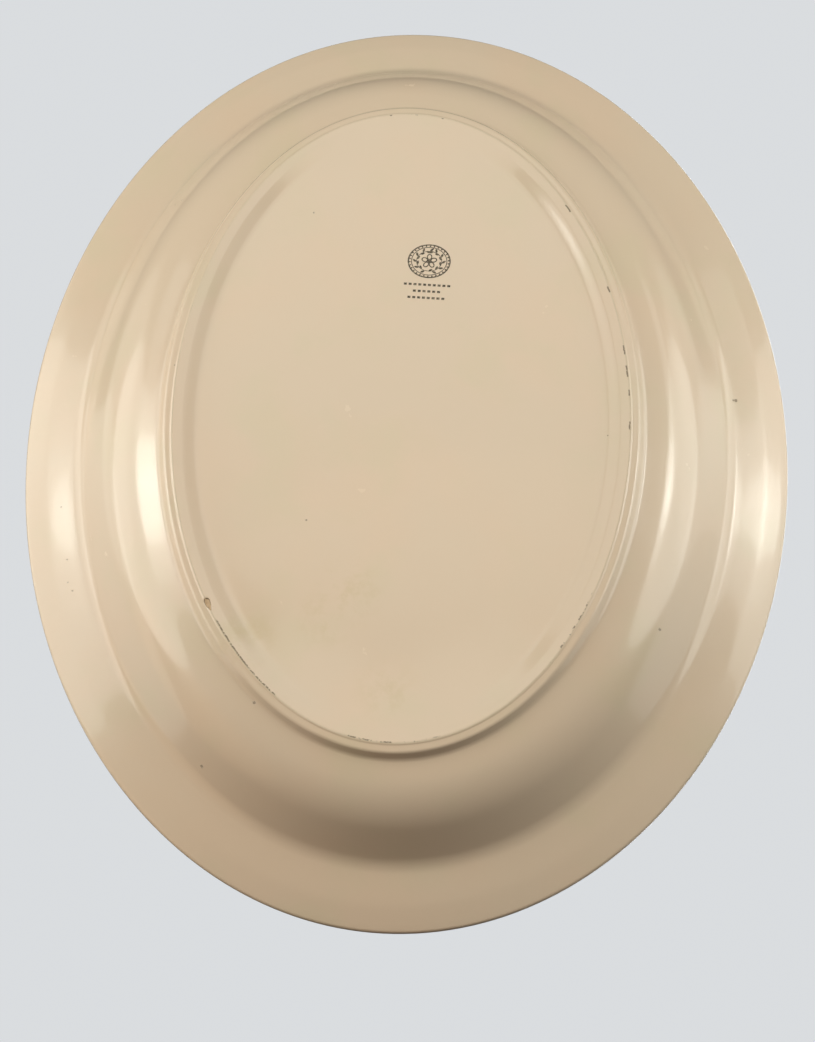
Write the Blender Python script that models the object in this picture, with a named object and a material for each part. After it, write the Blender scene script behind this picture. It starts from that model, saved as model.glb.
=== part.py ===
"""Oval china serving platter, lying on its foot ring: clay body, glaze coats and printed mark.

Metres, +Z up. The origin is the centre of the foot ring's resting face, and the platter is
longest along Y. One section line serves the whole oval. It is drawn as (inset, height): inset is
the distance in from the rim's edge, and height is above the table. Each point of it becomes one
oval ring, and the rings are lofted into a solid.
"""

import math

import bmesh
import bpy

# Overall size. A corner's height below is where its two straight stretches would meet
WIDTH = 0.267
LENGTH = 0.336

# Rim and flange
LIP_RADIUS = 0.0014
LIP_BOTTOM = 0.0263
LIP_TOP = 0.0294
FLANGE_BEND = (0.0080, 0.0244)
FLANGE_BEND_RADIUS = 0.035
FLANGE_THICKNESS = 0.0034
FLANGE_CORNER = (0.0208, 0.0223)
FLANGE_CORNER_RADIUS = 0.009
WELL_SHOULDER = (0.0236, 0.0252)
WELL_SHOULDER_RADIUS = 0.008

# Wall under the flange, and the bowl inside it
WALL_BEND = (0.0366, 0.0060)
WALL_BEND_RADIUS = 0.027
BOWL_FOOT = 0.0404
BOWL_RADIUS = 0.028
WELL_FLOOR = 0.0078
WELL_CENTRE_INSET = 0.054

# Foot ring and base. The platter rests on the ridge, and the band outside it stands a little clear
FOOT_GROOVE = (0.0524, 0.0032)
FOOT_GROOVE_RADIUS = 0.0024
FOOT_OUTER = (0.0543, 0.0004)
FOOT_OUTER_RADIUS = 0.0014
BAND_INNER = (0.0564, 0.0002)
RIDGE_OUTER = 0.0567
RIDGE_INNER = 0.0577
INNER_SLOPE = (0.0606, 0.0008)
INNER_SLOPE_RADIUS = 0.004
BASE_EDGE = 0.0652
BASE_EDGE_RADIUS = 0.006
BASE_CENTRE_INSET = 0.090
BASE_STEPS = 8
BASE_HEIGHT = 0.0028

# The foot and the flange lie this much nearer to the ends than to the sides
END_PULL = 0.035

# The base is higher than this nowhere, and the well is lower nowhere
BASE_TOP = 0.005
# The gentler climb comes in between these squared sines of the angle round the oval
END_STARTS = 0.52
END_FULL = 0.97

# Coats
GLAZE_THICKNESS = 0.0003
GAP = 0.0003
GLAZE_STOP = 0.0009
BARE_CLAY = 0.0004

# Printed mark
MARK_CENTRE = (-0.009, 0.0505)
MARK_SIZE = (0.0180, 0.0250)
MARK_THICKNESS = 0.0002

SEGMENTS = 64
CHORD_ERROR = 0.00012

IVORY = (0.66, 0.56, 0.42, 1.0)
CLAY = (0.64, 0.53, 0.40, 1.0)
INK = (0.10, 0.08, 0.06, 1.0)


def clear_scene():
    for obj in list(bpy.data.objects):
        bpy.data.objects.remove(obj, do_unlink=True)


def material(name, colour, roughness):
    made = bpy.data.materials.new(name)
    made.use_nodes = True
    shader = made.node_tree.nodes["Principled BSDF"]
    shader.inputs["Base Color"].default_value = colour
    shader.inputs["Roughness"].default_value = roughness
    shader.inputs["Metallic"].default_value = 0.0
    return made


def arc_at(before, corner, after, radius):
    """Points of the arc that rounds off a corner, from the line before it to the line after it."""
    arrive = math.atan2(corner[1] - before[1], corner[0] - before[0])
    leave = math.atan2(after[1] - corner[1], after[0] - corner[0])
    turn = (leave - arrive + math.pi) % (2 * math.pi) - math.pi
    reach = radius * math.tan(abs(turn) / 2)
    side = math.copysign(1, turn)
    start = (corner[0] - reach * math.cos(arrive), corner[1] - reach * math.sin(arrive))
    centre = (start[0] - side * radius * math.sin(arrive), start[1] + side * radius * math.cos(arrive))
    steps = math.ceil(abs(turn) / math.sqrt(8 * CHORD_ERROR / radius))
    points = []
    for i in range(steps + 1):
        angle = arrive + turn * i / steps
        x = centre[0] + side * radius * math.sin(angle)
        y = centre[1] - side * radius * math.cos(angle)
        points.append((x, y))
    return points


def rounded(corners):
    """Section line through corners of (inset, height, radius). The two end points have no radius."""
    line = [corners[0][:2]]
    for before, corner, after in zip(corners, corners[1:], corners[2:]):
        line += arc_at(before, corner, after, corner[2])
    line.append(corners[-1][:2])
    return line


def pulled_back(line, length):
    """The line with its last point moved back along the last stretch."""
    (x0, y0), (x1, y1) = line[-2:]
    share = length / math.hypot(x1 - x0, y1 - y0)
    return line[:-1] + [(x1 + (x0 - x1) * share, y1 + (y0 - y1) * share)]


def sunk(line, depth):
    """The line moved into the clay, which lies on its right as it runs from the base to the well."""
    moved = []
    for i, (x, y) in enumerate(line):
        x0, y0 = line[max(i - 1, 0)]
        x1, y1 = line[min(i + 1, len(line) - 1)]
        size = math.hypot(x1 - x0, y1 - y0)
        moved.append((x + (y1 - y0) / size * depth, y - (x1 - x0) / size * depth))
    return moved


def base_line():
    """Underside inside the foot ring, from the middle out to the ridge."""
    line = rounded(
        [
            (BASE_CENTRE_INSET, BASE_HEIGHT),
            (BASE_EDGE, BASE_HEIGHT, BASE_EDGE_RADIUS),
            (*INNER_SLOPE, INNER_SLOPE_RADIUS),
            (RIDGE_INNER, 0.0),
        ]
    )
    reach = line[0][0] - line[1][0]
    flat = [(line[0][0] - reach * i / BASE_STEPS, BASE_HEIGHT) for i in range(BASE_STEPS)]
    return flat + line[1:]


def base_height(inset):
    """Height of the underside inside the foot ring, at the platter's sides."""
    line = base_line()
    for (x0, y0), (x1, y1) in zip(line, line[1:]):
        if x1 <= inset <= x0:
            return y0 + (y1 - y0) * (x0 - inset) / (x0 - x1)
    return BASE_HEIGHT


def end_drop(inset, height, angle):
    """How much lower the base is towards the ends, where it climbs from the foot more gently."""
    if inset <= RIDGE_INNER or height > BASE_TOP or inset >= BASE_CENTRE_INSET:
        return 0.0
    share = min(1.0, max(0.0, (math.sin(angle) ** 2 - END_STARTS) / (END_FULL - END_STARTS)))
    share = share * share * (3 - 2 * share)
    run = (inset - RIDGE_INNER) / (BASE_CENTRE_INSET - RIDGE_INNER)
    return share * (base_height(inset) - BASE_HEIGHT * math.sin(run * math.pi / 2))


def outer_line():
    """From the band on the foot, up the wall, round the rim and in to the well."""
    bend_inset, bend_height = FLANGE_BEND
    return rounded(
        [
            BAND_INNER,
            (*FOOT_OUTER, FOOT_OUTER_RADIUS),
            (*FOOT_GROOVE, FOOT_GROOVE_RADIUS),
            (*WALL_BEND, WALL_BEND_RADIUS),
            (*FLANGE_CORNER, FLANGE_CORNER_RADIUS),
            (*FLANGE_BEND, FLANGE_BEND_RADIUS),
            (0.0, LIP_BOTTOM, LIP_RADIUS),
            (0.0, LIP_TOP, LIP_RADIUS),
            (bend_inset, bend_height + FLANGE_THICKNESS, FLANGE_BEND_RADIUS),
            (*WELL_SHOULDER, WELL_SHOULDER_RADIUS),
            (BOWL_FOOT, WELL_FLOOR, BOWL_RADIUS),
            (WELL_CENTRE_INSET, WELL_FLOOR),
        ]
    )


def oval(mesh, inset, height):
    """One ring of the loft. The ovals grow longer for their width towards the middle."""
    across = WIDTH / 2 - inset
    along = LENGTH / 2 - inset * (1 - END_PULL * inset / RIDGE_INNER)
    ring = []
    for i in range(SEGMENTS):
        angle = 2 * math.pi * i / SEGMENTS
        z = height - end_drop(inset, height, angle)
        ring.append(mesh.verts.new((across * math.cos(angle), along * math.sin(angle), z)))
    return ring


def loft(name, line, finish, collection):
    """A closed solid through the ovals of a section line, with a flat cap at each end of it."""
    mesh = bmesh.new()
    rings = [oval(mesh, inset, height) for inset, height in line]
    for lower, upper in zip(rings, rings[1:]):
        for i in range(SEGMENTS):
            j = (i + 1) % SEGMENTS
            mesh.faces.new((lower[i], lower[j], upper[j], upper[i]))
    mesh.faces.new(rings[0])
    mesh.faces.new(rings[-1])
    bmesh.ops.recalc_face_normals(mesh, faces=mesh.faces)
    return placed(name, mesh, finish, collection)


def placed(name, mesh, finish, collection):
    data = bpy.data.meshes.new(name)
    mesh.to_mesh(data)
    mesh.free()
    data.materials.append(finish)
    data.shade_smooth()
    data.set_sharp_from_angle(angle=math.radians(35))
    obj = bpy.data.objects.new(name, data)
    collection.objects.link(obj)
    return obj


def clay_body(collection):
    """The fired clay. The ridge of its foot is bare, and the rest of it lies under the glaze."""
    depth = GLAZE_THICKNESS + GAP
    inner = pulled_back(base_line(), BARE_CLAY)
    outer = pulled_back(outer_line()[::-1], BARE_CLAY)[::-1]
    foot = [inner[-1], (RIDGE_INNER, 0.0), (RIDGE_OUTER, 0.0), BAND_INNER, outer[0]]
    line = sunk(inner, depth) + foot + sunk(outer, depth)
    return loft("clay_body", line, material("bisque_clay", CLAY, 0.6), collection)


def glaze_coat(collection, finish):
    """One coat from the outside of the foot, round the rim and over the front."""
    skin = pulled_back(outer_line()[::-1], GLAZE_STOP)[::-1]
    return loft("glaze_coat", sunk(skin, GLAZE_THICKNESS)[::-1] + skin, finish, collection)


def base_glaze(collection, finish):
    """The coat inside the foot ring."""
    skin = pulled_back(base_line(), GLAZE_STOP)
    return loft("base_glaze", skin + sunk(skin, GLAZE_THICKNESS)[::-1], finish, collection)


def backstamp(collection):
    """The print's film on the base, an oval."""
    mesh = bmesh.new()
    bmesh.ops.create_cone(
        mesh,
        cap_ends=True,
        segments=32,
        radius1=0.5,
        radius2=0.5,
        depth=1.0,
    )
    bmesh.ops.scale(mesh, vec=(*MARK_SIZE, MARK_THICKNESS), verts=mesh.verts)
    height = BASE_HEIGHT - GAP - MARK_THICKNESS / 2
    bmesh.ops.translate(mesh, vec=(*MARK_CENTRE, height), verts=mesh.verts)
    return placed("backstamp", mesh, material("stamp_ink", INK, 0.4), collection)


def main():
    clear_scene()
    platter = bpy.data.collections.new("serving_platter")
    bpy.context.scene.collection.children.link(platter)
    glaze = material("ivory_glaze", IVORY, 0.15)
    clay_body(platter)
    glaze_coat(platter, glaze)
    base_glaze(platter, glaze)
    backstamp(platter)


main()
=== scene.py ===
"""Looks of the oval china serving platter: glaze, bare foot, wear, printed mark, light and camera.

The platter lies on its foot ring, +Z up and longest along Y. Its section is drawn once, as points of
(inset, height): inset is the distance in from the rim's edge, and height is above the table. The
line runs from the middle of the base, over the foot, up the wall, round the rim and in to the well.
"""

import math

import bmesh
import bpy
from mathutils import Matrix, Vector, noise

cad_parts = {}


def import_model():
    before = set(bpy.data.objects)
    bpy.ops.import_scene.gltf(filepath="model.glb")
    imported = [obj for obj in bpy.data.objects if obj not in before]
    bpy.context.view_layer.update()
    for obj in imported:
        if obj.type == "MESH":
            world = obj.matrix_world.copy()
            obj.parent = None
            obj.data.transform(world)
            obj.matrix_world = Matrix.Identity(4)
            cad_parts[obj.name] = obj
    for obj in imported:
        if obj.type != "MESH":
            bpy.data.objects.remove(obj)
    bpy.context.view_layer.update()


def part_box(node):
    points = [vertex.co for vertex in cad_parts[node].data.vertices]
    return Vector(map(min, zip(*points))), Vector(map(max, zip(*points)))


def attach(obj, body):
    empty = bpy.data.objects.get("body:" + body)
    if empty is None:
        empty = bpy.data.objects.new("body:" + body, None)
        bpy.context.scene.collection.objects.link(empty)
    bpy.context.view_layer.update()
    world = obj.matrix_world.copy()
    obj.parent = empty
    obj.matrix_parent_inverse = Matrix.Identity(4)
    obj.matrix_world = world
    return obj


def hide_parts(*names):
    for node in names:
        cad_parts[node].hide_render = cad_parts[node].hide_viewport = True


# The section's corners, each with the radius that rounds it
BASE_HEIGHT = 0.0028
BASE_EDGE = (0.0652, BASE_HEIGHT, 0.006)
INNER_SLOPE = (0.0606, 0.0008, 0.004)
FOOT_INNER = (0.0577, 0.0, 0.0008)
RIDGE_OUTER = (0.0571, 0.0, 0.0005)
BAND_START = (0.0567, 0.00022, 0.0006)
FOOT_OUTER = (0.0543, 0.00040, 0.0014)
FOOT_GROOVE = (0.0524, 0.0032, 0.0024)
WALL_BEND = (0.0366, 0.0060, 0.027)
FLANGE_CORNER = (0.0208, 0.0223, 0.009)
FLANGE_BEND = (0.0080, 0.0244, 0.035)
LIP_BOTTOM = (0.0, 0.0263, 0.0014)
LIP_TOP = (0.0, 0.0294, 0.0014)
FLANGE_TOP_BEND = (0.0080, 0.0278, 0.035)
WELL_SHOULDER = (0.0236, 0.0252, 0.008)
WELL_FLOOR = 0.0078
BOWL_FOOT = (0.0404, WELL_FLOOR, 0.028)

# The flat middles of the base and the well start at these insets, and close on a point
BASE_MIDDLE = 0.090
WELL_MIDDLE = 0.056
MIDDLE_RINGS = 14

# Towards the ends the base climbs from the foot more gently, over the whole way to its flat
# middle. That comes in between these squared sines of the angle round the oval
END_STARTS = 0.52
END_FULL = 0.97

# The foot and the flange lie this much nearer to the ends than to the sides
END_PULL = 0.035

GLAZE_THICKNESS = 0.0003
# The clay is bare along the top of the foot's ridge, between these distances from its inner edge
BARE_START = 0.0001
BARE_END = 0.0005

SEGMENTS = 240
CHORD_ERROR = 0.000005
LONGEST_STRETCH = 0.0025
LONGEST_ON_FOOT = 0.0005

# Height by which the kiln bent the rim, and the number of its waves round the oval
WARP = 0.00018
WARP_WAVES = 3
# Slight unevenness of the jiggered wall and flange
RIPPLE = 0.00005
RIPPLE_SCALE = 38.0

# The chip in the foot's ridge: its place round the oval in degrees, and its half sizes and depth
CHIP_ANGLE = 322
CHIP_ALONG = 0.0001
CHIP_LENGTH = 0.0025
CHIP_WIDTH = 0.0017
CHIP_DEPTH = 0.0006
CHIP_EXTRA_SEGMENTS = 28
# Length along the ridge for each degree at the chip
CHIP_DEGREE = 0.00175

# Colours of the lamps, and how far they stand from the platter
SOFT_WHITE = (0.99, 1.0, 0.92)
WARM = (1.0, 0.6, 0.3)
NEAR = 0.6
HIGHLIGHT = 0.95
FAR = 1.2
FLOOR_SIZE = 6.0
# The lamps are aimed here
MIDDLE = (0.0, 0.0, 0.013)
# The viewer looks up at the underside along GAZE, with TARGET in the middle of the picture
GAZE = (0.0383, 0.3091, 0.9503)
UP = (0.0047, 0.9509, -0.3095)
TARGET = (-0.0026, -0.0369, 0.013)
VIEWING_DISTANCE = 0.433
SENSOR_WIDTH = 36.0
LENS = 44.9


def half_sizes():
    low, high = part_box("glaze_coat")
    return (high[0] - low[0]) / 2, (high[1] - low[1]) / 2


def arc_at(before, corner, after):
    """Points of the arc that rounds off a corner (inset, height, radius)."""
    x, y, radius = corner
    arrive = math.atan2(y - before[1], x - before[0])
    leave = math.atan2(after[1] - y, after[0] - x)
    turn = (leave - arrive + math.pi) % (2 * math.pi) - math.pi
    reach = radius * math.tan(abs(turn) / 2)
    side = math.copysign(1, turn)
    start = (x - reach * math.cos(arrive), y - reach * math.sin(arrive))
    centre = (start[0] - side * radius * math.sin(arrive), start[1] + side * radius * math.cos(arrive))
    steps = math.ceil(abs(turn) / math.sqrt(8 * CHORD_ERROR / radius))
    angles = [arrive + turn * i / steps for i in range(steps + 1)]
    return [
        (centre[0] + side * radius * math.sin(a), centre[1] - side * radius * math.cos(a)) for a in angles
    ]


def rounded(corners):
    """The section line through the corners, with no stretch longer than LONGEST_STRETCH."""
    points = [corners[0][:2]]
    for before, corner, after in zip(corners, corners[1:], corners[2:]):
        points += arc_at(before, corner, after)
    points.append(corners[-1][:2])
    line = [points[0]]
    for (x0, y0), (x1, y1) in zip(points, points[1:]):
        longest = LONGEST_ON_FOOT if max(y0, y1) < BASE_HEIGHT / 2 else LONGEST_STRETCH
        parts = math.ceil(math.hypot(x1 - x0, y1 - y0) / longest)
        line += [(x0 + (x1 - x0) * i / parts, y0 + (y1 - y0) * i / parts) for i in range(1, parts + 1)]
    return line


def measured(line):
    """The line's points with their distance along it from the inner edge of the foot face."""
    lengths = [0.0]
    for (x0, y0), (x1, y1) in zip(line, line[1:]):
        lengths.append(lengths[-1] + math.hypot(x1 - x0, y1 - y0))
    nearest = min(
        range(len(line)),
        key=lambda i: math.hypot(line[i][0] - FOOT_INNER[0], line[i][1] - FOOT_INNER[1]),
    )
    return [(x, y, length - lengths[nearest]) for (x, y), length in zip(line, lengths)]


def whole_section():
    return measured(
        rounded(
            [
                (BASE_MIDDLE, BASE_HEIGHT),
                BASE_EDGE,
                INNER_SLOPE,
                FOOT_INNER,
                RIDGE_OUTER,
                BAND_START,
                FOOT_OUTER,
                FOOT_GROOVE,
                WALL_BEND,
                FLANGE_CORNER,
                FLANGE_BEND,
                LIP_BOTTOM,
                LIP_TOP,
                FLANGE_TOP_BEND,
                WELL_SHOULDER,
                BOWL_FOOT,
                (WELL_MIDDLE, WELL_FLOOR),
            ]
        )
    )


def sunk(line, depth):
    """The line moved into the clay, which lies on its right."""
    moved = []
    for i, (x, y, along) in enumerate(line):
        x0, y0, _ = line[max(i - 1, 0)]
        x1, y1, _ = line[min(i + 1, len(line) - 1)]
        size = math.hypot(x1 - x0, y1 - y0)
        moved.append((x + (y1 - y0) / size * depth, y - (x1 - x0) / size * depth, along))
    return moved


def between(line, start, end):
    """The stretch of the line between two distances along it, with points made at both."""
    made = []
    for (x0, y0, s0), (x1, y1, s1) in zip(line, line[1:]):
        for cut in (start, end):
            if s0 < cut <= s1:
                share = (cut - s0) / (s1 - s0)
                made.append((x0 + (x1 - x0) * share, y0 + (y1 - y0) * share, cut))
        if start < s1 < end:
            made.append((x1, y1, s1))
    return made


def chip_depth(angle, along):
    """Depth of the chip: a tear shape, blunt at one end and pointed at the other."""
    run = (math.degrees(angle) - CHIP_ANGLE) * CHIP_DEGREE / CHIP_LENGTH
    width = CHIP_WIDTH * (0.62 + 0.38 * max(-1.0, min(1.0, run)))
    reach = math.hypot(run, (along - CHIP_ALONG) / width)
    if reach >= 1:
        return 0.0
    rough = 0.75 + 0.5 * noise.noise(Vector((run * 2.2, along / width * 2.2, 4.0)))
    return CHIP_DEPTH * (1 - reach**3) * rough


class Platter:
    """Builds solids by lofting section lines through the platter's ovals."""

    def __init__(self):
        self.across, self.along = half_sizes()
        angles = [2 * math.pi * i / SEGMENTS for i in range(SEGMENTS)]
        span = CHIP_LENGTH / CHIP_DEGREE * 1.15
        for i in range(CHIP_EXTRA_SEGMENTS + 1):
            angles.append(math.radians(CHIP_ANGLE - span + 2 * span * i / CHIP_EXTRA_SEGMENTS))
        self.angles = sorted(angles)
        self.count = len(self.angles)
        self.base = [point[:2] for point in whole_section() if point[0] > FOOT_INNER[0]]
        self.base.append(FOOT_INNER[:2])

    def end_drop(self, inset, height, angle):
        """How much lower the base is here than at the same inset at the platter's sides."""
        if not FOOT_INNER[0] < inset < BASE_MIDDLE or height > (BASE_HEIGHT + WELL_FLOOR) / 2:
            return 0.0
        for (x0, y0), (x1, y1) in zip(self.base, self.base[1:]):
            if x1 <= inset <= x0:
                side = y0 + (y1 - y0) * (x0 - inset) / (x0 - x1)
        share = (math.sin(angle) ** 2 - END_STARTS) / (END_FULL - END_STARTS)
        share = min(1.0, max(0.0, share))
        share = share * share * (3 - 2 * share)
        run = (inset - FOOT_INNER[0]) / (BASE_MIDDLE - FOOT_INNER[0])
        return share * (side - BASE_HEIGHT * math.sin(run * math.pi / 2))

    def spot(self, point, angle):
        inset, height, along_line = point
        across = self.across - inset
        along = self.along - inset * (1 - END_PULL * inset / FOOT_INNER[0])
        rise = max(0.0, height - BASE_HEIGHT) / (LIP_TOP[1] - BASE_HEIGHT)
        bend = WARP * rise * rise * math.sin(WARP_WAVES * angle + 0.6)
        place = Vector((across * math.cos(angle), along * math.sin(angle), height))
        bend += RIPPLE * min(1.0, rise * 4) * noise.noise(place * RIPPLE_SCALE)
        if abs(along_line) < 2 * CHIP_WIDTH:
            bend += chip_depth(angle, along_line)
        place.z += bend - self.end_drop(inset, height, angle)
        return place

    def ring(self, mesh, point):
        return [mesh.verts.new(self.spot(point, angle)) for angle in self.angles]

    def middle(self, mesh, edge):
        """Rings that close a flat middle down to one point, from the ring at its edge inwards."""
        height = edge[0].co.z
        rings = [edge]
        for k in range(1, MIDDLE_RINGS):
            share = 1 - k / MIDDLE_RINGS
            rings.append(
                [mesh.verts.new((v.co.x * share, v.co.y * share, height)) for v in edge]
            )
        return rings, mesh.verts.new((0.0, 0.0, height))

    def solid(self, name, line, capped_start, capped_end):
        """A closed solid whose section is the line. A capped end closes on the platter's middle."""
        mesh = bmesh.new()
        uv = mesh.loops.layers.uv.new("ring")
        rings = [self.ring(mesh, point) for point in line]
        marks = [point[2] for point in line]
        self.bridge(mesh, uv, rings, marks)
        for edge, mark, capped in ((rings[0], marks[0], capped_start), (rings[-1], marks[-1], capped_end)):
            if not capped:
                continue
            inner, tip = self.middle(mesh, edge)
            reach = edge[0].co.length
            sign = -1 if edge is rings[0] else 1
            steps = [mark + sign * reach * k / MIDDLE_RINGS for k in range(MIDDLE_RINGS)]
            self.bridge(mesh, uv, inner, steps)
            self.fan(mesh, uv, inner[-1], tip, steps[-1])
        bmesh.ops.recalc_face_normals(mesh, faces=mesh.faces)
        data = bpy.data.meshes.new(name)
        mesh.to_mesh(data)
        mesh.free()
        data.shade_smooth()
        data.set_sharp_from_angle(angle=math.radians(40))
        obj = bpy.data.objects.new(name, data)
        bpy.context.scene.collection.objects.link(obj)
        return obj

    def turns(self, i):
        """The shares of the whole turn at the two ends of a segment."""
        ends = self.angles[i], self.angles[i + 1] if i + 1 < self.count else 2 * math.pi
        return ends[0] / (2 * math.pi), ends[1] / (2 * math.pi)

    def bridge(self, mesh, uv, rings, marks):
        for lower, upper, low, high in zip(rings, rings[1:], marks, marks[1:]):
            for i in range(self.count):
                j = (i + 1) % self.count
                face = mesh.faces.new((lower[i], lower[j], upper[j], upper[i]))
                u0, u1 = self.turns(i)
                for loop, place in zip(face.loops, ((u0, low), (u1, low), (u1, high), (u0, high))):
                    loop[uv].uv = place

    def fan(self, mesh, uv, ring, tip, mark):
        for i in range(self.count):
            face = mesh.faces.new((ring[i], ring[(i + 1) % self.count], tip))
            u0, u1 = self.turns(i)
            for loop, place in zip(face.loops, ((u0, mark), (u1, mark), ((u0 + u1) / 2, mark))):
                loop[uv].uv = place


# Materials


def node(tree, kind, inputs=None, **settings):
    """Adds a node. An input is given as a value, or as a socket to link from."""
    made = tree.nodes.new(kind)
    for key, value in settings.items():
        setattr(made, key, value)
    for key, value in (inputs or {}).items():
        if isinstance(value, bpy.types.NodeSocket):
            tree.links.new(value, made.inputs[key])
        else:
            made.inputs[key].default_value = value
    return made


def new_material(name):
    made = bpy.data.materials.new(name)
    made.use_nodes = True
    return made, made.node_tree, made.node_tree.nodes["Principled BSDF"]


def math_node(tree, operation, a, b=0.0):
    return node(tree, "ShaderNodeMath", {0: a, 1: b}, operation=operation).outputs[0]


def ramp(tree, value, low, high, smooth=True):
    """0 below low and 1 above high. low may be above high."""
    kind = "SMOOTHSTEP" if smooth else "LINEAR"
    made = node(tree, "ShaderNodeMapRange", {"Value": value}, interpolation_type=kind)
    flipped = low > high
    made.inputs["From Min"].default_value = min(low, high)
    made.inputs["From Max"].default_value = max(low, high)
    made.inputs["To Min"].default_value = 1.0 if flipped else 0.0
    made.inputs["To Max"].default_value = 0.0 if flipped else 1.0
    return made.outputs[0]


def mixed(tree, factor, a, b):
    made = node(tree, "ShaderNodeMix", {0: factor}, data_type="RGBA")
    for key, value in ((6, a), (7, b)):
        if isinstance(value, bpy.types.NodeSocket):
            tree.links.new(value, made.inputs[key])
        else:
            made.inputs[key].default_value = value
    return made.outputs[2]


def cloud(tree, place, scale, detail=2.0, roughness=0.5):
    return node(
        tree,
        "ShaderNodeTexNoise",
        {"Vector": place, "Scale": scale, "Detail": detail, "Roughness": roughness},
    ).outputs["Fac"]


IVORY = (0.735, 0.598, 0.458, 1.0)
IVORY_WARM = (0.765, 0.588, 0.438, 1.0)
IVORY_GREEN = (0.690, 0.598, 0.428, 1.0)
STAIN = (0.640, 0.520, 0.320, 1.0)
SPECK = (0.085, 0.055, 0.035, 1.0)
GRIME = (0.130, 0.095, 0.065, 1.0)
BARE_CLAY = (0.640, 0.535, 0.400, 1.0)
CHIP_CLAY = (0.560, 0.400, 0.250, 1.0)
INK = (0.050, 0.031, 0.014, 1.0)
INK_THIN = (0.260, 0.200, 0.120, 1.0)

# Iron specks and pits in the underside's glaze: x, y and radius
SPECKS = (
    (-0.116, 0.011, 0.0005),
    (-0.115, 0.011, 0.0003),
    (0.085, 0.086, 0.0004),
    (0.082, 0.086, 0.0004),
    (-0.084, -0.074, 0.0004),
    (0.062, -0.118, 0.0004),
    (0.044, -0.100, 0.0004),
    (0.032, 0.074, 0.0003),
    (0.030, -0.040, 0.0003),
    (0.118, -0.029, 0.0002),
    (0.114, -0.048, 0.0002),
    (0.113, -0.056, 0.0002),
    (0.111, -0.059, 0.0002),
)
# Faint stains on the base: x, y and radius
STAINS = (
    (0.016, -0.065, 0.011),
    (0.023, -0.073, 0.009),
    (0.048, -0.080, 0.010),
    (0.003, -0.096, 0.009),
)
# Grime where the ridge is worn: its place round the oval and its half length, both in degrees
GRIME_LINE = (309, 10)
GRIME_SPECKLED = ((270, 11), (221, 7))
GRIME_DASHES = (
    (139, 1.0),
    (158, 0.7),
    (170, 0.9),
    (174, 1.1),
    (178, 0.6),
    (184, 0.8),
    (86, 0.35),
    (93, 0.35),
    (100, 0.35),
)


def object_place(tree):
    return node(tree, "ShaderNodeTexCoord").outputs["Object"]


def ring_place(tree):
    """The place on the section: degrees round the oval, and metres along from the foot's inner edge."""
    uv = node(tree, "ShaderNodeUVMap", uv_map="ring").outputs["UV"]
    split = node(tree, "ShaderNodeSeparateXYZ", {0: uv})
    return math_node(tree, "MULTIPLY", split.outputs["X"], 360.0), split.outputs["Y"]


def product(tree, *factors):
    made = factors[0]
    for factor in factors[1:]:
        made = math_node(tree, "MULTIPLY", made, factor)
    return made


def nearest(tree, place, spots):
    """Distance past the edge of the nearest round spot, seen in plan."""
    flat = node(
        tree, "ShaderNodeVectorMath", {0: place, 1: (1.0, 1.0, 0.0)}, operation="MULTIPLY"
    ).outputs[0]
    least = None
    for x, y, radius in spots:
        far = node(
            tree, "ShaderNodeVectorMath", {0: flat, 1: (x, y, 0.0)}, operation="DISTANCE"
        ).outputs["Value"]
        past = math_node(tree, "SUBTRACT", far, radius)
        least = past if least is None else math_node(tree, "MINIMUM", least, past)
    return least


def window(tree, degrees, centre, half):
    """Above 0 within half of the centre."""
    off = math_node(tree, "ABSOLUTE", math_node(tree, "SUBTRACT", degrees, centre))
    return math_node(tree, "SUBTRACT", half, off)


def chip_mask(tree, place, degrees, along):
    """1 inside the chip, with a ragged edge."""
    scale = CHIP_DEGREE / CHIP_LENGTH
    run = math_node(tree, "MULTIPLY", math_node(tree, "SUBTRACT", degrees, CHIP_ANGLE), scale)
    held = node(tree, "ShaderNodeClamp", {"Value": run, "Min": -1.0, "Max": 1.0}).outputs[0]
    share = math_node(tree, "ADD", math_node(tree, "MULTIPLY", held, 0.38), 0.62)
    width = math_node(tree, "MULTIPLY", share, CHIP_WIDTH)
    side = math_node(tree, "DIVIDE", math_node(tree, "SUBTRACT", along, CHIP_ALONG), width)
    squares = math_node(
        tree, "ADD", math_node(tree, "MULTIPLY", run, run), math_node(tree, "MULTIPLY", side, side)
    )
    reach = math_node(tree, "SQRT", squares)
    ragged = math_node(tree, "MULTIPLY", cloud(tree, place, 1400.0, 2.0), 0.3)
    return math_node(tree, "ADD", reach, ragged)


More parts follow.
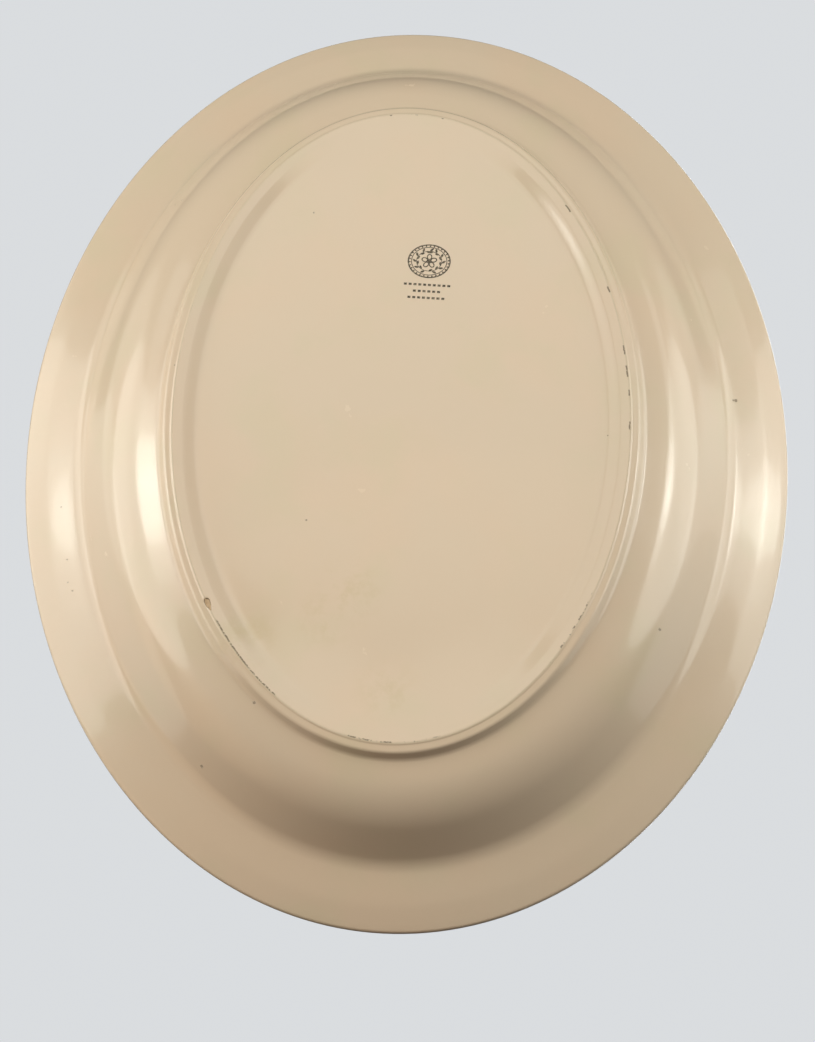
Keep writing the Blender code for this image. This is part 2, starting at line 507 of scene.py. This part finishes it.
def ridge_grime(tree, place, degrees, along):
    """1 where grime has caught along the worn ridge."""
    fine = cloud(tree, place, 1600.0, 2.0)
    dashes = cloud(tree, place, 420.0, 3.0, 0.7)
    line = ramp(tree, window(tree, degrees, *GRIME_LINE), 0.0, 0.6)
    line = product(tree, line, ramp(tree, dashes, 0.38, 0.50))
    worn = None
    for centre, half in GRIME_SPECKLED:
        made = ramp(tree, window(tree, degrees, centre, half), 0.0, 0.6)
        worn = made if worn is None else math_node(tree, "MAXIMUM", worn, made)
    worn = product(tree, worn, ramp(tree, dashes, 0.50, 0.56))
    short = None
    for centre, half in GRIME_DASHES:
        made = window(tree, degrees, centre, half)
        short = made if short is None else math_node(tree, "MAXIMUM", short, made)
    short = ramp(tree, short, -0.05, 0.15)
    round_it = math_node(tree, "MAXIMUM", line, math_node(tree, "MAXIMUM", worn, short))
    shift = math_node(tree, "MULTIPLY", math_node(tree, "SUBTRACT", dashes, 0.5), 0.0008)
    off = math_node(tree, "SUBTRACT", math_node(tree, "ADD", along, shift), 0.00005)
    across = ramp(tree, math_node(tree, "ABSOLUTE", off), 0.00034, 0.00016)
    return product(tree, round_it, across, ramp(tree, fine, 0.30, 0.48))


def body_colour(tree, place):
    warm = ramp(tree, cloud(tree, place, 19.0, 4.0), 0.42, 0.66)
    green = ramp(tree, cloud(tree, place, 33.0, 4.0), 0.48, 0.70)
    colour = mixed(tree, product(tree, warm, 0.45), IVORY, IVORY_WARM)
    return mixed(tree, product(tree, green, 0.45), colour, IVORY_GREEN)


def glaze_material(rim_along):
    made, tree, shader = new_material("ivory_glaze")
    place = object_place(tree)
    degrees, along = ring_place(tree)
    under = ramp(tree, along, rim_along + 0.001, rim_along - 0.001)

    stain = ramp(tree, nearest(tree, place, STAINS), 0.004, -0.008)
    stain = product(tree, stain, ramp(tree, cloud(tree, place, 160.0, 4.0, 0.7), 0.42, 0.66), under)
    colour = mixed(tree, product(tree, stain, 0.40), body_colour(tree, place), STAIN)

    wobble = product(tree, math_node(tree, "SUBTRACT", cloud(tree, place, 2300.0), 0.5), 0.0009)
    edge = math_node(tree, "ADD", nearest(tree, place, SPECKS), wobble)
    speck = product(tree, ramp(tree, edge, 0.0002, -0.0001), under)
    colour = mixed(tree, product(tree, speck, 0.55), colour, SPECK)

    cells = node(tree, "ShaderNodeTexVoronoi", {"Vector": place, "Scale": 75.0, "Randomness": 1.0})
    chosen = node(tree, "ShaderNodeSeparateColor", {0: cells.outputs["Color"]}).outputs[0]
    pinhole = product(
        tree, ramp(tree, cells.outputs["Distance"], 0.024, 0.014), ramp(tree, chosen, 0.62, 0.64)
    )
    colour = mixed(tree, product(tree, pinhole, 0.45), colour, SPECK)

    grime = ridge_grime(tree, place, degrees, along)
    colour = mixed(tree, product(tree, grime, 0.8), colour, GRIME)

    reach = chip_mask(tree, place, degrees, along)
    broken = ramp(tree, reach, 1.06, 1.00)
    rim = product(tree, broken, ramp(tree, reach, 0.84, 0.98))
    colour = mixed(tree, broken, colour, CHIP_CLAY)
    colour = mixed(tree, product(tree, rim, 0.85), colour, SPECK)
    tree.links.new(colour, shader.inputs["Base Color"])

    haze = ramp(tree, cloud(tree, place, 90.0, 5.0, 0.6), 0.3, 0.8)
    rough = math_node(tree, "ADD", product(tree, haze, 0.08), 0.20)
    dull = math_node(tree, "MAXIMUM", math_node(tree, "MAXIMUM", broken, grime), speck)
    rough = math_node(tree, "ADD", rough, product(tree, dull, 0.45))
    tree.links.new(rough, shader.inputs["Roughness"])
    shader.inputs["IOR"].default_value = 1.5
    shader.inputs["Coat Roughness"].default_value = 0.06
    coat = math_node(tree, "MULTIPLY", math_node(tree, "SUBTRACT", 1.0, dull), 0.5)
    tree.links.new(coat, shader.inputs["Coat Weight"])

    peel = product(tree, cloud(tree, place, 210.0, 2.0), 0.000012)
    fine = product(tree, cloud(tree, place, 900.0, 2.0), 0.0000015)
    holes = product(tree, math_node(tree, "MAXIMUM", pinhole, speck), -0.00003)
    height = math_node(tree, "ADD", math_node(tree, "ADD", peel, fine), holes)
    bump = node(tree, "ShaderNodeBump", {"Height": height, "Strength": 1.0, "Distance": 1.0})
    tree.links.new(bump.outputs["Normal"], shader.inputs["Normal"])
    tree.links.new(bump.outputs["Normal"], shader.inputs["Coat Normal"])
    return made


def clay_material():
    made, tree, shader = new_material("bisque_clay")
    place = object_place(tree)
    degrees, along = ring_place(tree)
    grain = cloud(tree, place, 2600.0, 3.0, 0.7)
    tone = ramp(tree, cloud(tree, place, 160.0, 4.0, 0.65), 0.40, 0.70)
    colour = mixed(tree, product(tree, tone, 0.5), BARE_CLAY, IVORY)
    colour = mixed(tree, product(tree, ramp(tree, grain, 0.56, 0.72), 0.35), colour, GRIME)
    grime = ridge_grime(tree, place, degrees, along)
    colour = mixed(tree, product(tree, grime, 0.8), colour, GRIME)
    reach = chip_mask(tree, place, degrees, along)
    broken = ramp(tree, reach, 1.06, 1.00)
    colour = mixed(tree, broken, colour, CHIP_CLAY)
    tree.links.new(colour, shader.inputs["Base Color"])
    rough = math_node(tree, "ADD", product(tree, grain, 0.3), 0.32)
    tree.links.new(rough, shader.inputs["Roughness"])
    height = product(tree, grain, 0.00001)
    bump = node(tree, "ShaderNodeBump", {"Height": height, "Strength": 1.0, "Distance": 1.0})
    tree.links.new(bump.outputs["Normal"], shader.inputs["Normal"])
    return made


def ink_material():
    made, tree, shader = new_material("stamp_ink")
    place = object_place(tree)
    thin = ramp(tree, cloud(tree, place, 1500.0, 3.0, 0.7), 0.44, 0.70)
    colour = mixed(tree, product(tree, thin, 0.9), INK, INK_THIN)
    tree.links.new(colour, shader.inputs["Base Color"])
    rough = math_node(tree, "ADD", product(tree, thin, 0.1), 0.22)
    tree.links.new(rough, shader.inputs["Roughness"])
    shader.inputs["Coat Weight"].default_value = 0.4
    shader.inputs["Coat Roughness"].default_value = 0.08
    return made


# The printed mark: an oval band round a rosette and sprigs, over three broken rules

MARK_CENTRE = (-0.0090, 0.0547)
MARK_TOP = BASE_HEIGHT + 0.00005
MARK_BOTTOM = BASE_HEIGHT - 0.00002
OVAL_HALF_WIDTH = 0.0075
OVAL_HALF_HEIGHT = 0.0066
MARK_TURN = math.radians(4)


def plate_between(mesh, outer, inner=None):
    """A thin closed plate within the outer outline, and outside the inner one if it is given."""
    rings = []
    for outline in (outer, inner):
        if outline:
            for height in (MARK_TOP, MARK_BOTTOM):
                rings.append([mesh.verts.new((x, y, height)) for x, y in outline])
    count = len(outer)
    for i in range(count):
        j = (i + 1) % count
        mesh.faces.new((rings[0][i], rings[0][j], rings[1][j], rings[1][i]))
        if inner:
            mesh.faces.new((rings[2][j], rings[2][i], rings[3][i], rings[3][j]))
            mesh.faces.new((rings[0][j], rings[0][i], rings[2][i], rings[2][j]))
            mesh.faces.new((rings[1][i], rings[1][j], rings[3][j], rings[3][i]))
    if not inner:
        mesh.faces.new(rings[0][::-1])
        mesh.faces.new(rings[1])


def ellipse(centre, half_width, half_height, turn=0.0, count=64, waves=0, wave=0.0):
    outline = []
    for i in range(count):
        angle = 2 * math.pi * i / count
        swell = 1 + wave * math.cos(waves * angle)
        x, y = half_width * swell * math.cos(angle), half_height * swell * math.sin(angle)
        outline.append(
            (
                centre[0] + x * math.cos(turn) - y * math.sin(turn),
                centre[1] + x * math.sin(turn) + y * math.cos(turn),
            )
        )
    return outline


def leaf(root, length, width, turn, count=14):
    """A pointed leaf outline from its root."""
    sides = []
    for side in (1, -1):
        steps = range(count + 1) if side == 1 else range(count - 1, 0, -1)
        for i in steps:
            run = i / count
            sides.append((run * length, side * width / 2 * math.sin(math.pi * run) ** 0.8))
    return [
        (
            root[0] + x * math.cos(turn) - y * math.sin(turn),
            root[1] + x * math.sin(turn) + y * math.cos(turn),
        )
        for x, y in sides
    ]


def bar(left, right, y, height):
    return [(left, y - height / 2), (right, y - height / 2), (right, y + height / 2), (left, y + height / 2)]


def printed_mark():
    mesh = bmesh.new()
    cx, cy = MARK_CENTRE
    for share, line in ((1.0, 0.00050), (0.84, 0.00030), (0.60, 0.00022)):
        wide, high = OVAL_HALF_WIDTH * share, OVAL_HALF_HEIGHT * share
        plate_between(
            mesh,
            ellipse(MARK_CENTRE, wide, high),
            ellipse(MARK_CENTRE, wide - line, high - line),
        )
    for i in range(30):
        angle = 2 * math.pi * (i + 0.5) / 30
        spot = (
            cx + OVAL_HALF_WIDTH * 0.90 * math.cos(angle),
            cy + OVAL_HALF_HEIGHT * 0.89 * math.sin(angle),
        )
        plate_between(mesh, ellipse(spot, 0.00028, 0.00028, count=12))
    for i in range(5):
        turn = math.pi / 2 + 2 * math.pi * i / 5
        petal = (cx + 0.00165 * math.cos(turn), cy + 0.00165 * math.sin(turn))
        outer = ellipse(petal, 0.00120, 0.00095, turn, 28)
        inner = ellipse(petal, 0.00078, 0.00055, turn, 28)
        plate_between(mesh, outer, inner)
    plate_between(mesh, ellipse((cx, cy), 0.00060, 0.00060, count=16))
    for i in range(22):
        angle = 2 * math.pi * (i + 0.5) / 22
        root = (
            cx + OVAL_HALF_WIDTH * 0.60 * math.cos(angle),
            cy + OVAL_HALF_HEIGHT * 0.60 * math.sin(angle),
        )
        side = 1 if math.cos(angle) > 0 else -1
        lean = angle + side * math.radians(48 if i % 2 else 125)
        plate_between(mesh, leaf(root, 0.0017, 0.00080, lean))
    for row, half in enumerate((0.0086, 0.0052, 0.0074)):
        y = cy - 0.0092 - 0.0025 * row
        dash, gap = 0.00105, 0.00062
        count = int(2 * half / (dash + gap))
        start = cx - (count * (dash + gap) - gap) / 2
        for i in range(count):
            left = start + i * (dash + gap)
            plate_between(mesh, bar(left, left + dash, y, 0.00085))
    bmesh.ops.rotate(
        mesh, cent=(cx, cy, 0.0), matrix=Matrix.Rotation(MARK_TURN, 3, "Z"), verts=mesh.verts
    )
    bmesh.ops.recalc_face_normals(mesh, faces=mesh.faces)
    data = bpy.data.meshes.new("printed_mark")
    mesh.to_mesh(data)
    mesh.free()
    obj = bpy.data.objects.new("printed_mark", data)
    bpy.context.scene.collection.objects.link(obj)
    return obj


def view_axes():
    """The picture's right and up, and the direction back towards the viewer."""
    gaze = Vector(GAZE).normalized()
    right = gaze.cross(Vector(UP)).normalized()
    return right, right.cross(gaze), -gaze


def camera():
    scene = bpy.context.scene
    made = bpy.data.objects.new("camera", bpy.data.cameras.new("camera"))
    scene.collection.objects.link(made)
    scene.camera = made
    made.data.sensor_width = SENSOR_WIDTH
    made.data.lens = LENS
    right, up, back = view_axes()
    turn = Matrix((right, up, back)).transposed().to_4x4()
    place = Vector(TARGET) + back * VIEWING_DISTANCE
    made.matrix_world = Matrix.Translation(place) @ turn
    made.data.clip_start = 0.01


def lamp(name, place, size, power, colour):
    """A soft lamp aimed at the platter. Size is one diameter, or a width and a height."""
    data = bpy.data.lights.new(name, "AREA")
    if isinstance(size, tuple):
        data.shape = "RECTANGLE"
        data.size, data.size_y = size
    else:
        data.shape = "DISK"
        data.size = size
    data.energy = power
    data.color = colour
    made = bpy.data.objects.new(name, data)
    bpy.context.scene.collection.objects.link(made)
    made.location = place
    back = (Vector(place) - Vector(MIDDLE)).normalized()
    across = Vector((0.0, 1.0, 0.0)).cross(back).normalized()
    turn = Matrix((across, back.cross(across), back)).transposed()
    made.rotation_mode = "QUATERNION"
    made.rotation_quaternion = turn.to_quaternion()
    made.visible_camera = False
    return made


def below(name, azimuth, elevation, distance, size, power, colour=SOFT_WHITE):
    """A lamp on the underside's side. Azimuth runs to the picture's right, from the viewer."""
    right, up, back = view_axes()
    flat = math.cos(math.radians(elevation))
    way = right * (math.sin(math.radians(azimuth)) * flat)
    way += up * math.sin(math.radians(elevation))
    way += back * (math.cos(math.radians(azimuth)) * flat)
    return lamp(name, Vector(MIDDLE) + way * distance, size, power, colour)


def lights():
    """Pairs of lamps light the underside from both sides, the left a little stronger."""
    for end, side, share, azimuth, elevation in (
        ("left", -1, 1.0, -44, 27),
        ("right", 1, 0.9, 45, 25),
    ):
        below("side_" + end, side * 98, -5, FAR, 1.2, 3.0 * share)
        below("edge_" + end, side * 85, 20, NEAR, 0.5, 0.4 * share)
        below("near_" + end, side * 62, 15, NEAR, 0.5, 1.65 * share)
        # These three make the highlights: a soft halo, a tall band and a bright core
        below("halo_" + end, azimuth, elevation, HIGHLIGHT, 0.18, 0.38 * share)
        below("band_" + end, azimuth, elevation + 7, HIGHLIGHT, (0.12, 0.55), 0.3 * share)
        below("core_" + end, azimuth, elevation, HIGHLIGHT, 0.065, 0.36 * share)
    below("top", 0, 45, NEAR, 0.5, 0.8)
    below("front", 0, 15, NEAR, 0.5, 0.3, WARM)
    below("low_left", -62, -20, NEAR, 0.5, 0.3, WARM)
    lamp("over_soft", (-0.25, 0.45, FAR), 1.4, 23.5, (0.97, 0.98, 1.0))


def world():
    """Dark to the platter, so that the lamps alone light it, and pale behind it."""
    made = bpy.data.worlds.new("studio")
    made.use_nodes = True
    tree = made.node_tree
    seen = node(tree, "ShaderNodeLightPath").outputs["Is Camera Ray"]
    backdrop = mixed(tree, seen, (0.02, 0.02, 0.02, 1.0), (0.70, 0.72, 0.74, 1.0))
    tree.links.new(backdrop, tree.nodes["Background"].inputs["Color"])
    bpy.context.scene.world = made


def floor():
    """The table. It can be seen from above only, and the lamps under it shine through it."""
    bpy.ops.mesh.primitive_plane_add(size=FLOOR_SIZE, location=(0.0, 0.0, -0.0001))
    plane = bpy.context.object
    plane.name = "floor"
    made, tree, shader = new_material("floor")
    shader.inputs["Base Color"].default_value = (0.34, 0.34, 0.33, 1.0)
    shader.inputs["Roughness"].default_value = 0.9
    shader.inputs["Specular IOR Level"].default_value = 0.1
    shader.inputs["Emission Color"].default_value = (0.46, 0.47, 0.48, 1.0)
    shader.inputs["Emission Strength"].default_value = 1.0
    back = node(tree, "ShaderNodeNewGeometry").outputs["Backfacing"]
    clear = node(tree, "ShaderNodeBsdfTransparent").outputs[0]
    mix = node(tree, "ShaderNodeMixShader", {0: back, 1: shader.outputs[0], 2: clear})
    tree.links.new(mix.outputs[0], tree.nodes["Material Output"].inputs["Surface"])
    plane.data.materials.append(made)
    plane.visible_shadow = False
    plane.visible_diffuse = False
    plane.visible_glossy = False
    plane.visible_transmission = False


def main():
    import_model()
    platter = Platter()
    section = whole_section()
    start, end = section[0][2], section[-1][2]
    base = between(section, start - 1, BARE_START)
    foot = between(section, BARE_START, BARE_END)
    outer = between(section, BARE_END, end + 1)
    rim_along = max(section, key=lambda point: point[1])[2]
    glaze = glaze_material(rim_along)
    clay = platter.solid(
        "clay", sunk(base, GLAZE_THICKNESS) + foot + sunk(outer, GLAZE_THICKNESS), True, True
    )
    coat = platter.solid("glaze", sunk(outer, GLAZE_THICKNESS)[::-1] + outer, True, True)
    pool = platter.solid("base_pool", base + sunk(base, GLAZE_THICKNESS)[::-1], True, True)
    for piece, stands_for, slot, finish in (
        (clay, "clay_body", "bisque_clay", clay_material()),
        (coat, "glaze_coat", "ivory_glaze", glaze),
        (pool, "base_glaze", "ivory_glaze", glaze),
        (printed_mark(), "backstamp", "stamp_ink", ink_material()),
    ):
        piece.data.materials.append(finish)
        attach(piece, "root")
        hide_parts(stands_for)
    camera()
    lights()
    world()
    floor()
    bpy.context.scene.view_settings.view_transform = "Standard"


main()
